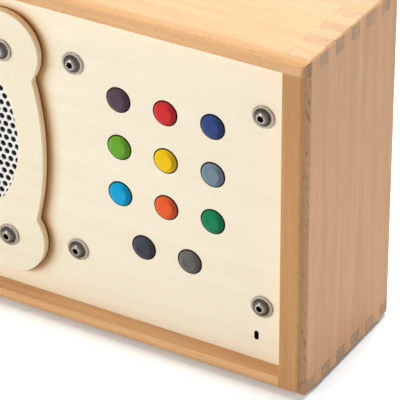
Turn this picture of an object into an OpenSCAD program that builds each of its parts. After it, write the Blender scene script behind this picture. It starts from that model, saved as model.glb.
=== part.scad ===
// Audio story player: a finger-jointed wooden box with a loudspeaker, coloured buttons and a volume knob.
// Millimetres. X is the width, -Y the front, +Z up; the feet stand on Z = 0 and the box is centred over it.

/* [Case] */
// Width of the wooden case
case_w = 324; // [300:1:380]
// Depth of the wooden case
case_d = 94; // [90:1:130]
// Height of the wooden case, without the feet
case_h = 187; // [180:1:220]
// Thickness of the two side boards
side_t = 13.6; // [10:0.2:18]
// Thickness of the top and bottom boards
board_t = 8.2; // [8:0.1:12]
// Radius of the outer edges
edge_r = 5; // [1:0.5:6]
// Radius of the edges where the side boards meet the top and the bottom
side_edge_r = 1.5; // [0.5:0.5:4]
// Number of finger pitches over the depth
finger_count = 12; // [8:2:16]
// Height of the rubber feet
foot_h = 2; // [1:0.5:5]
// Diameter of a rubber foot
foot_d = 14; // [10:1:20]
// Distance of a foot's centre from the case's sides
foot_inset = 18; // [14:1:30]

/* [Front and rear plates] */
// How far the front plate lies behind the case's front edge
front_recess = 9.5; // [8:0.5:14]
// Thickness of the front plate
plate_t = 4; // [3:0.5:6]
// Depth of the groove that holds the front plate
groove_depth = 3.8; // [2:0.2:5]
// Clearance all round the front plate in its groove
groove_gap = 0.1; // [0:0.05:0.3]
// How far the rear plate lies inside the case's rear edge
rear_recess = 3; // [2.6:0.1:6]
// Thickness of the rear plate
rear_t = 4; // [3:0.5:6]
// Clearance all round the rear plate
rear_gap = 0.3; // [0.1:0.1:0.6]
// Width and depth of the strips behind the rear plate
batten_size = 10; // [9:0.5:12]

/* [Speaker cover] */
// Gap between the speaker cover and the left board
cover_margin = 6.4; // [4:0.2:8]
// Height of the speaker's axis above the bottom of the case
speaker_z = 93; // [92:0.5:95]
// Thickness of the speaker cover
cover_t = 5; // [4:0.5:7]
// Half width of the speaker cover at the middle of a side
cover_reach = 76; // [74:0.5:79]
// Radius of the bulging sides of the cover
cover_bulge_r = 160; // [140:5:200]
// Radius of the cover's corners
cover_lobe_r = 21.5; // [18:0.5:24]
// Radius that softens the notches beside the corners
cover_notch_r = 4; // [2:0.5:8]
// Diameter of the sound opening in the plate
opening_d = 118; // [108:1:120]
// Diameter of the opening in the cover
cover_opening_d = 122.6; // [118:0.2:124]
// Height of the cover's opening above the speaker's axis
opening_lift = 2.2; // [0:0.2:3]
// Thickness of the grille sheet
grille_t = 0.6; // [0.6:0.1:1.4]
// Thickness of the cloth behind the grille
cloth_t = 0.5; // [0.3:0.1:1]
// Width of the ledge that holds the rim of the grille
grille_ledge = 5; // [3:0.5:6]

/* [Fasteners] */
// Spacing of both square screw patterns
screw_pitch = 107; // [106:0.5:110]
// Diameter of the machine screws
screw_d = 5; // [4:0.5:5]
// Diameter of the screw heads
head_d = 9.5; // [9:0.1:11]
// Height of the screw heads
head_h = 2.75; // [2.4:0.05:3.2]
// Size across the flats of the socket in the heads
socket_w = 3; // [2.5:0.5:4]
// Diameter of the washers
washer_d = 12; // [12:0.1:13]
// Thickness of the washers
washer_t = 1; // [0.8:0.1:1.4]
// Size across the flats of the nuts
nut_w = 8; // [7.5:0.5:9]
// Height of the nuts
nut_h = 4; // [3:0.5:5]
// Diameter of the wood screws in the rear plate
rear_screw_d = 3.5; // [3:0.1:4]
// Diameter of the heads of the rear screws
rear_head_d = 7; // [6:0.5:8]
// Height of the heads of the rear screws
rear_head_h = 2.4; // [2:0.1:2.6]
// Length of the rear screws under the head
rear_screw_l = 12; // [10:0.5:13]

/* [Buttons] */
// Distance of the middle button column from the right board
button_inset = 69.4; // [68:0.2:70]
// Height of the middle button row above the bottom of the case
button_z = 106.9; // [106:0.1:109]
// Height of the lower pair of buttons above the bottom of the case
pair_z = 53; // [52:0.5:56]
// Spacing of the buttons
button_pitch = 26.6; // [24:0.2:28]
// Diameter of a button cap
button_d = 12.6; // [12:0.2:14]
// Diameter of the flat face of a button cap
button_face_d = 8.2; // [7.6:0.2:11]
// Depth of the chamfer round the face
button_chamfer = 1.3; // [0.6:0.1:1.4]
// How far a released button stands out of the front plate
button_proud = 1.6; // [1.2:0.1:3]
// How far a button can be pressed
button_travel = 1; // [0.5:0.1:1.2]
// Radial clearance of a button in the front plate
button_gap = 0.7; // [0.3:0.1:0.8]
// Width of the collar that keeps a button behind the plate
collar_w = 1.3; // [1:0.1:1.6]
// Thickness of that collar
collar_t = 1; // [0.8:0.1:1.6]
// Diameter of the stem that enters the switch
stem_d = 6.8; // [5:0.2:7.4]
// Radial running fit of the stem in the switch
stem_fit = 0.05; // [0.03:0.01:0.1]

/* [Circuit board] */
// Distance of the circuit board's middle from the right board
panel_inset = 68.4; // [68:0.2:70]
// Gap between the circuit board and the right board
pcb_side_gap = 6.4; // [5:0.2:8]
// Gap between the circuit board and the top and bottom boards
pcb_end_gap = 7.3; // [5:0.1:9]
// Thickness of the circuit board
pcb_t = 1.6; // [1:0.2:2]
// Width of a switch housing
switch_w = 12; // [10:0.5:13]
// Depth of a switch housing
switch_h = 4.8; // [4.6:0.1:6]
// Distance of the light slot from the right board
slot_inset = 18; // [14:0.2:20]
// Height of the light slot above the bottom of the case
slot_z = 22; // [20:0.2:24]
// Width of the light slot
slot_w = 2.5; // [1.5:0.1:3]
// Height of the light slot
slot_h = 5.2; // [4:0.2:7]

/* [Loudspeaker] */
// Thickness of the foam ring between plate and loudspeaker
gasket_t = 1; // [0.8:0.1:2]
// Radius of the loudspeaker's flange
flange_r = 67; // [65:0.5:70]
// Thickness of the loudspeaker's sheet metal
basket_t = 1.6; // [1:0.1:2]
// Depth of the basket behind its flange
basket_h = 32; // [30:0.5:36]
// Radius of the cone's rim
cone_r = 51; // [48:0.5:52]
// Depth of the cone
cone_h = 19; // [16:0.5:20]
// Thickness of the cone's paper
cone_t = 1.2; // [0.8:0.1:1.6]
// Radius of the voice coil
coil_r = 13.2; // [12.8:0.1:14]
// Radius of the magnet
magnet_r = 40; // [36:0.5:44]
// Thickness of the magnet
magnet_h = 16; // [12:0.5:18]
// Thickness of the two pole plates
pole_t = 5; // [4:0.5:6]
// Travel of the cone each way
cone_travel = 1; // [0.5:0.1:1.5]

/* [Batteries] */
// Diameter of a battery cell
cell_d = 14.2; // [13.5:0.1:14.5]
// Length of a battery cell with its button
cell_l = 50.3; // [49:0.1:50.5]
// Number of cells
cell_count = 4; // [2:1:4]
// Wall of the battery holder
holder_wall = 1.6; // [1:0.2:2.4]
// Height of the battery holder's middle above the bottom of the case
holder_z = 93; // [70:1:110]

/* [Volume control] */
// Distance of the volume knob's axis from the left board
knob_inset = 36.4; // [30:0.2:44]
// Diameter of the volume knob
knob_d = 32; // [28:1:38]
// Height of the volume knob
knob_h = 19; // [18:0.5:24]
// Gap between the knob and the top board
knob_gap = 0.6; // [0.4:0.1:1]
// Diameter of the volume shaft
shaft_d = 6; // [5:0.5:6]
// Diameter of the threaded neck round the shaft
neck_d = 9; // [8:0.5:10]
// Diameter of the control's housing
control_d = 17; // [16:0.5:20]
// Depth of the control's housing
control_h = 9; // [8:0.5:12]
// Wood left above the control's housing
control_web = 4; // [3:0.5:5]

/* [Hidden] */

$fn = 64;
eps = 0.01;

// Levels in Z
base_z = foot_h;
top_z = base_z + case_h;
mid_z = base_z + case_h / 2;
floor_z = base_z + board_t;
ceiling_z = top_z - board_t;
inner_w = case_w - 2 * side_t;
inner_h = ceiling_z - floor_z;

// Levels in Y, from the front to the rear
finger_pitch = case_d / finger_count;
front_y = -case_d / 2;
plate_front = front_y + front_recess;
plate_back = plate_front + plate_t;
cover_front = plate_front - cover_t;
rear_out = case_d / 2 - rear_recess;
rear_in = rear_out - rear_t;

// The button caps, from the face rearwards
cap_front = plate_front - button_proud;
collar_gap = 0.3;
stop_gap = 0.3;
collar_front = plate_back + collar_gap;
collar_back = collar_front + collar_t;
switch_front = collar_back + button_travel + stop_gap;
stem_into_switch = 2.4;
stem_end = switch_front + stem_into_switch;
pcb_front = switch_front + switch_h;
pcb_back = pcb_front + pcb_t;
ring_radii = [1.5, 2.7, 3.9];
ring_w = 0.35;
ring_depth = 0.25;

// Middles of the two fields of the front plate
speaker_pos = [-inner_w / 2 + cover_margin + cover_reach, base_z + speaker_z];
grille_pos = speaker_pos + [0, opening_lift];
button_x = inner_w / 2 - button_inset;
panel_x = inner_w / 2 - panel_inset;
panel_pos = [panel_x, mid_z];
knob_x = -inner_w / 2 + knob_inset;
slot_pos = [inner_w / 2 - slot_inset, base_z + slot_z];
pcb_w = 2 * (panel_inset - pcb_side_gap);
pcb_h = inner_h - 2 * pcb_end_gap;

// Machine screws
screw_gap = 0.15;
screw_fit = 0.02;
cover_screw_l = cover_t + plate_t + gasket_t + basket_t + nut_h + washer_t + 2;
plate_screw_l = pcb_back - plate_front + nut_h + washer_t + 2;
corners = [for (x = [-1, 1], z = [-1, 1]) [x, z] * screw_pitch / 2];

// Loudspeaker, from its flange rearwards
flange_y = plate_back + gasket_t;
rim_r = 57;
cone_gap = 0.3;
roll_r = (rim_r - cone_r - cone_gap) / 2;
surround_t = 0.7;
surround_w = 5;
ear_w = 20;
ear_neck_w = 17;
shelf_r = 38;
shelf_h = 26;
neck_r = 30;
window_count = 6;
window_w = 26;
window_y = 5;
gap_in = 0.5;
coil_t = 0.7;
coil_h = 24;
coil_front = cone_h - 0.5;
pole_r = coil_r - coil_t - gap_in;
yoke_r = magnet_r - 2;
top_plate_y = flange_y + basket_h + basket_t;
magnet_y = top_plate_y + pole_t;
yoke_y = magnet_y + magnet_h;
spider_t = 0.6;
spider_waves = 4;
spider_wave_h = 0.7;
dome_r = 15;
dome_h = 5;
dome_t = 0.8;
terminal_w = 16;
terminal_board_h = 7;
terminal_l = 6;
lug_w = 2.8;
lug_t = 0.8;
lug_shift = 5;

// Parts on the circuit board: width, depth and height, and places from the board's middle
chip_size = [14, 1.6, 14];
chip_place = [0, 30];
amplifier_size = [10, 1.4, 8];
amplifier_place = [-38, 30];
capacitor_d = 8;
capacitor_h = 11;
capacitor_pitch = 10;
capacitor_place = [-36, 8];
socket_size = [12, 6, 7];
socket_wall = 1;
socket_pitch = 20;
socket_place = [-24, 62];
card_size = [24, 2.1, 32];
card_play = 0.15;
card_wall = 0.6;
card_socket_l = 26;
card_place = [34, -30];
light_d = 3;
light_h = 5;

// Batteries
cell_gap = 0.3;
cell_pitch = cell_d + 0.8;
contact_t = 0.5;
contact_w = 8;
holder_w = cell_count * cell_pitch + 2 * holder_wall;
holder_l = cell_l + 2 * (contact_t + cell_gap + holder_wall);
holder_depth = cell_d + holder_wall + 1;
cell_y = rear_in - holder_wall - cell_gap - cell_d / 2;

// Volume control, from the top board downwards
web_z = top_z - control_web;
control_recess = 0.3;
control_washer_t = 0.6;
control_nut_h = 2.2;
control_nut_w = 11;
neck_l = control_web + control_washer_t + control_nut_h + 0.6;
knob_base = top_z + knob_gap;
knob_top = knob_base + knob_h;
knob_pocket_d = 17;
knob_pocket_h = 5;
shaft_top = knob_top - 5;
shaft_in = 6;
shaft_fit = 0.05;
knob_round = 3;

// Colours
beech = [0.86, 0.68, 0.47];
beech_end = [0.80, 0.62, 0.48];
birch = [0.95, 0.90, 0.78];
steel = [0.75, 0.75, 0.74];
dark_steel = [0.35, 0.35, 0.36];
black_plastic = [0.12, 0.12, 0.13];

// Name, colour and place of every button
function button_table() = [
    ["button_aubergine", [0.35, 0.27, 0.33], panel_spot(-1, 1)],
    ["button_red", [0.80, 0.20, 0.22], panel_spot(0, 1)],
    ["button_dark_blue", [0.22, 0.29, 0.53], panel_spot(1, 1)],
    ["button_bright_green", [0.42, 0.68, 0.22], panel_spot(-1, 0)],
    ["button_yellow", [0.94, 0.76, 0.10], panel_spot(0, 0)],
    ["button_grey_blue", [0.50, 0.58, 0.66], panel_spot(1, 0)],
    ["button_light_blue", [0.00, 0.62, 0.84], panel_spot(-1, -1)],
    ["button_orange", [0.94, 0.40, 0.18], panel_spot(0, -1)],
    ["button_dark_green", [0.10, 0.53, 0.36], panel_spot(1, -1)],
    ["button_charcoal", [0.25, 0.26, 0.30], pair_spot(-1)],
    ["button_dark_grey", [0.43, 0.42, 0.40], pair_spot(1)]];
function panel_spot(column, row) =
    [button_x + column * button_pitch, base_z + button_z + row * button_pitch];
function pair_spot(side) = [button_x + side * button_pitch / 2, base_z + pair_z];
function is_pair(place) = place[1] == base_z + pair_z;

// ---- Helpers ----

// A flat shape drawn in X and Z, made solid from y0 to y1
module panel(y0, y1) {
    translate([0, y1, 0]) rotate([90, 0, 0]) linear_extrude(y1 - y0) children();
}

// Puts a shape that is turned about Z at a place on the front, with its Z pointing to the rear
module facing(place, y) {
    translate([place[0], y, place[1]]) rotate([-90, 0, 0]) children();
}

module rounded_rect(w, h, r) {
    square([w - 2 * r, h], center = true);
    square([w, h - 2 * r], center = true);
    for (x = [-1, 1], y = [-1, 1]) translate([x * (w / 2 - r), y * (h / 2 - r)]) circle(r);
}

module tube(r_out, r_in, h) {
    difference() {
        cylinder(r = r_out, h = h);
        translate([0, 0, -1]) cylinder(r = r_in, h = h + 2);
    }
}

// The two ends of a stretch with this middle and length
function span(middle, length) = [middle - length / 2, middle + length / 2];

module box(x, y, z) {
    translate([x[0], y[0], z[0]]) cube([x[1] - x[0], y[1] - y[0], z[1] - z[0]]);
}

module hexagon_prism(across, h) {
    cylinder(d = across / cos(30), h = h, $fn = 6);
}

// ---- Case ----

module case_envelope() {
    intersection() {
        panel(-case_d / 2, case_d / 2) translate([0, mid_z]) rounded_rect(case_w, case_h, side_edge_r);
        translate([-case_w / 2, 0, mid_z]) rotate([90, 0, 90])
            linear_extrude(case_w) rounded_rect(case_d, case_h, edge_r);
        translate([0, 0, base_z]) linear_extrude(case_h) rounded_rect(case_w, case_d, edge_r);
    }
}

// Start in Y of finger number i: the first and the last finger are half a pitch wide
function finger_edge(i) = max(-case_d / 2, min(case_d / 2, -case_d / 2 + (i - 0.5) * finger_pitch));

// The corner cells of fingers first, first + 2, ... at one end and one level
module finger_cells(side, z, first) {
    x = side > 0 ? [inner_w / 2, case_w / 2 + 1] : [-case_w / 2 - 1, -inner_w / 2];
    for (i = [first : 2 : finger_count]) {
        y0 = finger_edge(i) - (i == 0 ? 1 : 0);
        y1 = finger_edge(i + 1) + (i == finger_count ? 1 : 0);
        box(x, [y0, y1], z);
    }
}

bottom_level = [base_z - 1, floor_z];
top_level = [ceiling_z, top_z + 1];

module plate_groove() {
    box([-inner_w / 2 - groove_depth, inner_w / 2 + groove_depth], [plate_front, plate_back],
        [floor_z - groove_depth, ceiling_z + groove_depth]);
}

// first: 1 leaves the first finger at the front to this board, 0 to the side boards
module flat_board(level, first) {
    difference() {
        intersection() {
            case_envelope();
            box([-case_w, case_w], [-case_d, case_d], level);
        }
        for (side = [-1, 1]) finger_cells(side, [level[0] - 1, level[1] + 1], first);
        plate_groove();
    }
}

module upright_board(side) {
    x = side > 0 ? [inner_w / 2, case_w] : [-case_w, -inner_w / 2];
    difference() {
        intersection() {
            case_envelope();
            box(x, [-case_d, case_d], [0, top_z + 1]);
        }
        finger_cells(side, bottom_level, 1);
        finger_cells(side, top_level, 0);
        plate_groove();
    }
}

module case_top() color(beech) difference() {
    flat_board(top_level, 1);
    translate([knob_x, 0, ceiling_z - 1]) cylinder(d = neck_d + 2 * screw_gap, h = board_t + 2);
    translate([knob_x, 0, ceiling_z - 1])
        cylinder(d = control_d + 2 * control_recess, h = board_t - control_web + 1);
}

module case_bottom() color(beech) flat_board(bottom_level, 0);

module case_left() color(beech_end) upright_board(-1);

module case_right() color(beech_end) upright_board(1);

module feet() color(black_plastic)
    for (x = [-1, 1], y = [-1, 1])
        translate([x * (case_w / 2 - foot_inset), y * (case_d / 2 - foot_inset), 0])
            rotate_extrude() polygon([[0, 0], [foot_d / 2 - 0.5, 0], [foot_d / 2, 0.5], [foot_d / 2, foot_h],
                [0, foot_h]]);

// ---- Plates ----

module light_slot() {
    translate(slot_pos) {
        square([slot_w, slot_h - slot_w], center = true);
        for (z = [-1, 1]) translate([0, z * (slot_h - slot_w) / 2]) circle(d = slot_w);
    }
}

module screw_holes(middle) {
    for (c = corners) translate(middle + c) circle(d = screw_d + 2 * screw_gap);
}

module front_plate() color(birch)
    panel(plate_front, plate_back) difference() {
        translate([0, mid_z])
            square([inner_w, inner_h] + [2, 2] * (groove_depth - groove_gap), center = true);
        translate(speaker_pos) circle(d = opening_d);
        for (b = button_table()) translate(b[2]) circle(d = button_d + 2 * button_gap);
        screw_holes(speaker_pos);
        screw_holes(panel_pos);
        light_slot();
    }

rear_screw_inset = 1.5 * batten_size;
rear_screw_levels = [floor_z + rear_screw_inset, mid_z, ceiling_z - rear_screw_inset];
rear_screw_spots = [for (side = [-1, 1], z = rear_screw_levels) [side * (inner_w - batten_size) / 2, z]];

module rear_plate() color(birch)
    panel(rear_in, rear_out) difference() {
        translate([0, mid_z]) square([inner_w, inner_h] - [2, 2] * rear_gap, center = true);
        for (p = rear_screw_spots) translate(p) circle(d = rear_screw_d + 2 * screw_gap);
    }

module rear_battens() color(beech)
    panel(rear_in - batten_size, rear_in) {
        for (side = [-1, 1]) difference() {
            translate([side * (inner_w - batten_size) / 2, mid_z])
                square([batten_size, inner_h], center = true);
            for (p = rear_screw_spots) translate(p) circle(d = rear_screw_d + 2 * screw_fit);
        }
        for (end = [-1, 1]) translate([0, mid_z + end * (inner_h - batten_size) / 2])
            square([inner_w - 2 * batten_size - 2 * rear_gap, batten_size], center = true);
    }

module rear_screws() color(steel)
    for (p = rear_screw_spots) facing(p, rear_out) mirror([0, 0, 1]) wood_screw();

module wood_screw() {
    point = 3;
    cylinder(d = rear_screw_d, h = rear_screw_l - point);
    translate([0, 0, rear_screw_l - point]) cylinder(d1 = rear_screw_d, d2 = 0.6, h = point);
    mirror([0, 0, 1]) difference() {
        screw_head(rear_head_d, rear_head_h);
        translate([0, 0, rear_head_h - 1.4]) hexagon_prism(2.5, 2);
    }
}

// ---- Machine screws, washers and nuts ----

// A low domed head on Z = 0, its top at Z = h
module screw_head(d, h) {
    rim = 0.3 * h;
    dome = h - rim;
    dome_ball_r = (d * d / 4 + dome * dome) / (2 * dome);
    intersection() {
        cylinder(d = d, h = h);
        translate([0, 0, h - dome_ball_r]) sphere(dome_ball_r);
    }
}

// The underside of the head lies on Z = 0 and the shank points to +Z
module machine_screw(l) {
    cylinder(d = screw_d, h = l - 0.6);
    translate([0, 0, l - 0.6]) cylinder(d1 = screw_d, d2 = screw_d - 1.2, h = 0.6);
    mirror([0, 0, 1]) difference() {
        screw_head(head_d, head_h);
        translate([0, 0, 1]) hexagon_prism(socket_w, head_h);
    }
}

module washer() tube(washer_d / 2, screw_d / 2 + screw_gap, washer_t);

module hex_nut() difference() {
    hexagon_prism(nut_w, nut_h);
    translate([0, 0, -1]) cylinder(d = screw_d + 2 * screw_fit, h = nut_h + 2);
}

module on_corners(middle, y) {
    for (c = corners) facing(middle + c, y) children();
}

module cover_screws() color(steel)
    on_corners(speaker_pos, cover_front - washer_t) machine_screw(cover_screw_l);

module cover_washers() color(steel)
    on_corners(speaker_pos, cover_front - washer_t) washer();

module cover_nuts() color(steel)
    on_corners(speaker_pos, flange_y + basket_t) hex_nut();

module plate_screws() color(steel)
    on_corners(panel_pos, plate_front - washer_t) machine_screw(plate_screw_l);

module plate_washers() color(steel)
    on_corners(panel_pos, plate_front - washer_t) washer();

module board_spacers() color(steel)
    on_corners(panel_pos, plate_back) tube(nut_w / 2, screw_d / 2 + screw_gap, pcb_front - plate_back);

module board_nuts() color(steel) on_corners(panel_pos, pcb_back) hex_nut();

// ---- Speaker cover and grille ----

grille_d = cover_opening_d + 2 * grille_ledge;
rebate_h = grille_t + cloth_t;

// Four shallow arcs with a round corner at every screw
module cover_outline() {
    offset(r = -cover_notch_r) offset(delta = cover_notch_r) {
        intersection_for(a = [0 : 90 : 270]) rotate(a)
            translate([cover_reach - cover_bulge_r, 0]) circle(cover_bulge_r, $fn = 180);
        for (c = corners) translate(c) circle(cover_lobe_r, $fn = 72);
    }
}

module speaker_cover() color(birch) difference() {
    panel(cover_front, plate_front) translate(speaker_pos) cover_outline();
    facing(grille_pos, cover_front - 1) cylinder(d = cover_opening_d, h = cover_t + 2);
    facing(grille_pos, plate_front - rebate_h) cylinder(d = grille_d + 2 * screw_gap, h = rebate_h + 1);
    on_corners(speaker_pos, cover_front - 1) cylinder(d = screw_d + 2 * screw_gap, h = cover_t + 2);
}

module speaker_grille() color(steel)
    facing(grille_pos, plate_front - rebate_h) cylinder(d = grille_d, h = grille_t);

module grille_cloth() color(black_plastic)
    facing(grille_pos, plate_front - cloth_t) cylinder(d = grille_d, h = cloth_t);

// ---- Loudspeaker ----

// Four arms from inside the flange to the screws
module ear_outline() {
    for (c = corners) {
        translate(c) circle(d = ear_w);
        rotate(atan2(c[1], c[0])) translate([rim_r + 3, -ear_neck_w / 2])
            square([norm(c) - rim_r - 3, ear_neck_w]);
    }
}

module speaker_gasket() color(black_plastic)
    facing(speaker_pos, plate_back) tube(flange_r, rim_r + surround_w + cone_gap, gasket_t);

module basket_profile() {
    foot_r = coil_r + gap_in + 3;
    polygon([[rim_r, 0], [flange_r, 0], [flange_r, basket_t], [rim_r + 2 * basket_t, basket_t],
        [shelf_r + basket_t, shelf_h], [shelf_r + basket_t, shelf_h + basket_t],
        [neck_r + basket_t, shelf_h + basket_t], [neck_r + basket_t, basket_h + basket_t],
        [foot_r, basket_h + basket_t], [foot_r, basket_h], [neck_r, basket_h], [neck_r, shelf_h],
        [shelf_r, shelf_h], [rim_r, basket_t]]);
}

module speaker_basket() color(dark_steel) facing(speaker_pos, flange_y) difference() {
    union() {
        linear_extrude(basket_t) ear_outline();
        rotate_extrude() basket_profile();
    }
    for (c = corners) translate([c[0], c[1], -1]) cylinder(d = screw_d + 2 * screw_gap, h = basket_t + 2);
    for (i = [0 : window_count - 1]) rotate((i + 0.5) * 360 / window_count)
        translate([neck_r + 5, -window_w / 2, window_y]) cube([rim_r, window_w, shelf_h - 2 * window_y]);
}

module speaker_surround() color(black_plastic) facing(speaker_pos, flange_y) rotate_extrude() {
    roll_x = cone_r + cone_gap + roll_r;
    difference() {
        translate([roll_x, 0]) circle(roll_r);
        translate([roll_x, 0]) circle(roll_r - surround_t);
        translate([0, 0]) square([2 * rim_r, rim_r]);
    }
    translate([rim_r - surround_t, -surround_t]) square([surround_w + surround_t, surround_t]);
}

function wave(r) =
    spider_wave_h / 2 * (cos((r - coil_r) / (shelf_r - coil_r) * 360 * spider_waves) - 1);

module speaker_spider() color([0.75, 0.6, 0.35]) facing(speaker_pos, flange_y + shelf_h) rotate_extrude() {
    radii = [for (k = [0 : 48]) coil_r + cone_gap + k / 48 * (shelf_r - cone_gap - coil_r - cone_gap)];
    polygon(concat([for (r = radii) [r, wave(r) - spider_t]],
        [for (k = [48 : -1 : 0]) [radii[k], wave(radii[k])]]));
}

module speaker_cone() color([0.16, 0.15, 0.15]) facing(speaker_pos, flange_y) rotate_extrude()
    polygon([[coil_r, cone_h], [cone_r, 0], [cone_r, cone_t], [coil_r, cone_h + cone_t]]);

module dust_cap() color(black_plastic) {
    ball_r = (dome_r * dome_r + dome_h * dome_h) / (2 * dome_h);
    seat = cone_h * (cone_r - dome_r) / (cone_r - coil_r);
    facing(speaker_pos, flange_y + seat) intersection() {
        difference() {
            translate([0, 0, ball_r - dome_h]) sphere(ball_r);
            translate([0, 0, ball_r - dome_h]) sphere(ball_r - dome_t);
        }
        translate([0, 0, -dome_h - 1]) cylinder(r = dome_r, h = dome_h + 1);
    }
}

module voice_coil() color([0.72, 0.45, 0.2])
    facing(speaker_pos, flange_y + coil_front) tube(coil_r, coil_r - coil_t, coil_h);

module speaker_top_plate() color(steel)
    facing(speaker_pos, top_plate_y) tube(yoke_r, coil_r + gap_in, pole_t);

module speaker_magnet() color(dark_steel)
    facing(speaker_pos, magnet_y) tube(magnet_r, coil_r + 5, magnet_h);

module speaker_yoke() color(steel) facing(speaker_pos, yoke_y) {
    cylinder(r = yoke_r, h = pole_t);
    translate([0, 0, -magnet_h - pole_t]) cylinder(r = pole_r, h = magnet_h + pole_t + eps);
}

module speaker_terminals() color([0.8, 0.65, 0.3]) {
    inner_r = rim_r + 2 * basket_t + 1;
    z = speaker_pos[1] - (flange_r + inner_r) / 2;
    y = flange_y + basket_t;
    box(span(speaker_pos[0], terminal_w), [y, y + 1], span(z, flange_r - inner_r));
    for (side = [-1, 1])
        box(span(speaker_pos[0] + side * lug_shift, lug_w), [y + 1 - eps, y + terminal_l], span(z, lug_t));
}

// ---- Circuit board ----

module main_board() color([0.1, 0.4, 0.2])
    panel(pcb_front, pcb_back) difference() {
        translate(panel_pos) square([pcb_w, pcb_h], center = true);
        screw_holes(panel_pos);
    }

module switch_housings() color(black_plastic)
    for (b = button_table()) facing(b[2], switch_front) difference() {
        translate([-switch_w / 2, -switch_w / 2, 0]) cube([switch_w, switch_w, switch_h]);
        translate([0, 0, -1])
            cylinder(d = stem_d + 2 * stem_fit, h = 1 + stem_into_switch + button_travel + stop_gap);
    }

// A block on the rear of the circuit board, at a place measured from the board's middle
module board_block(place, size) {
    p = panel_pos + place;
    box(span(p[0], size[0]), [pcb_back, pcb_back + size[1]], span(p[1], size[2]));
}

module processor_chip() color(black_plastic) board_block(chip_place, chip_size);

module amplifier_chip() color(black_plastic) board_block(amplifier_place, amplifier_size);

module capacitors() color([0.2, 0.25, 0.5])
    for (i = [-1 : 1]) facing(panel_pos + capacitor_place + [i * capacitor_pitch, 0], pcb_back)
        cylinder(d = capacitor_d, h = capacitor_h);

module lead_sockets() color([0.9, 0.88, 0.8]) for (i = [-1 : 1]) difference() {
    place = socket_place + [i * socket_pitch, 0];
    board_block(place, socket_size);
    translate([0, socket_wall, 0])
        board_block(place + [0, 2 * socket_wall], socket_size - [2 * socket_wall, 0, 0]);
}

// The card lies in a sheet sleeve whose upper end is open
module card_socket() color(steel) difference() {
    sleeve = card_size + [1, 1, 0] * 2 * (card_play + card_wall);
    board_block(card_place, [sleeve[0], sleeve[1], card_socket_l]);
    translate([0, card_wall, card_wall])
        board_block(card_place, [card_size[0] + 2 * card_play, card_size[1] + 2 * card_play, card_socket_l]);
}

module memory_card() color([0.1, 0.2, 0.5])
    translate([0, card_wall + card_play, (card_size[2] - card_socket_l) / 2 + card_wall + card_play])
        board_block(card_place, card_size);

module status_light() color([0.9, 0.95, 0.9]) facing(slot_pos, pcb_front - light_h) {
    cylinder(d = light_d, h = light_h);
    sphere(d = light_d);
}

// ---- Batteries ----

cells_z = base_z + holder_z;
function cell_x(i) = panel_x + (i - (cell_count - 1) / 2) * cell_pitch;

module battery_holder() color(black_plastic) difference() {
    box(span(panel_x, holder_w), [rear_in - holder_depth, rear_in], span(cells_z, holder_l));
    box(span(panel_x, holder_w - 2 * holder_wall), [rear_in - holder_depth - 1, rear_in - holder_wall],
        span(cells_z, holder_l - 2 * holder_wall));
}

module battery_cells() color([0.2, 0.22, 0.25]) for (i = [0 : cell_count - 1]) {
    flip = i % 2;
    translate([cell_x(i), cell_y, cells_z]) mirror([0, 0, flip]) translate([0, 0, -cell_l / 2]) {
        cylinder(d = cell_d, h = cell_l - 1.2);
        translate([0, 0, cell_l - 1.2 - eps]) cylinder(d = 5.3, h = 1.2 + eps);
    }
}

module battery_contacts() color(steel) for (i = [0 : cell_count - 1], end = [-1, 1]) {
    wall = cells_z + end * (holder_l / 2 - holder_wall);
    box(span(cell_x(i), contact_w), span(cell_y, contact_w), span(wall - end * contact_t / 2, contact_t));
}

// ---- Volume control ----

module volume_knob() color(beech) translate([knob_x, 0, knob_base]) difference() {
    rotate_extrude() {
        polygon([[0, 0], [knob_d / 2 - 0.8, 0], [knob_d / 2, 0.8], [knob_d / 2, knob_h - knob_round],
            [0, knob_h - knob_round]]);
        square([knob_d / 2 - knob_round, knob_h]);
        translate([knob_d / 2 - knob_round, knob_h - knob_round]) intersection() {
            circle(knob_round);
            square(knob_round);
        }
    }
    translate([0, 0, -1]) cylinder(d = knob_pocket_d, h = knob_pocket_h + 1);
    cylinder(d = shaft_d + 2 * screw_fit, h = shaft_top - knob_base);
    translate([0, -knob_d / 2 + 5, knob_h - 0.8]) cylinder(d = 3, h = 2);
}

module volume_shaft() color(steel)
    translate([knob_x, 0, web_z - shaft_in]) cylinder(d = shaft_d, h = shaft_top - web_z + shaft_in);

module volume_control() color(dark_steel) translate([knob_x, 0, 0]) difference() {
    union() {
        translate([0, 0, web_z - control_h]) cylinder(d = control_d, h = control_h);
        translate([0, 0, web_z - eps]) cylinder(d = neck_d, h = neck_l + eps);
    }
    translate([0, 0, web_z - shaft_in - screw_gap])
        cylinder(d = shaft_d + 2 * shaft_fit, h = shaft_in + neck_l + 1);
}

module volume_washer() color(steel)
    translate([knob_x, 0, top_z]) tube(neck_d / 2 + 3, neck_d / 2 + screw_gap, control_washer_t);

module volume_nut() color(steel) translate([knob_x, 0, top_z + control_washer_t]) difference() {
    hexagon_prism(control_nut_w, control_nut_h);
    translate([0, 0, -1]) cylinder(d = neck_d + 2 * screw_fit, h = control_nut_h + 2);
}

// ---- Buttons ----

module button_cap(b) color(b[1]) {
    r = button_d / 2;
    cap_l = collar_front - cap_front;
    facing(b[2], cap_front) difference() {
        rotate_extrude() polygon([[0, 0], [button_face_d / 2, 0], [r, button_chamfer], [r, cap_l],
            [r + collar_w, cap_l], [r + collar_w, cap_l + collar_t], [stem_d / 2, cap_l + collar_t],
            [stem_d / 2, stem_end - cap_front], [0, stem_end - cap_front]]);
        if (is_pair(b[2])) for (ring_r = ring_radii)
            translate([0, 0, -1]) tube(ring_r + ring_w / 2, ring_r - ring_w / 2, 1 + ring_depth);
    }
}

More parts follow.
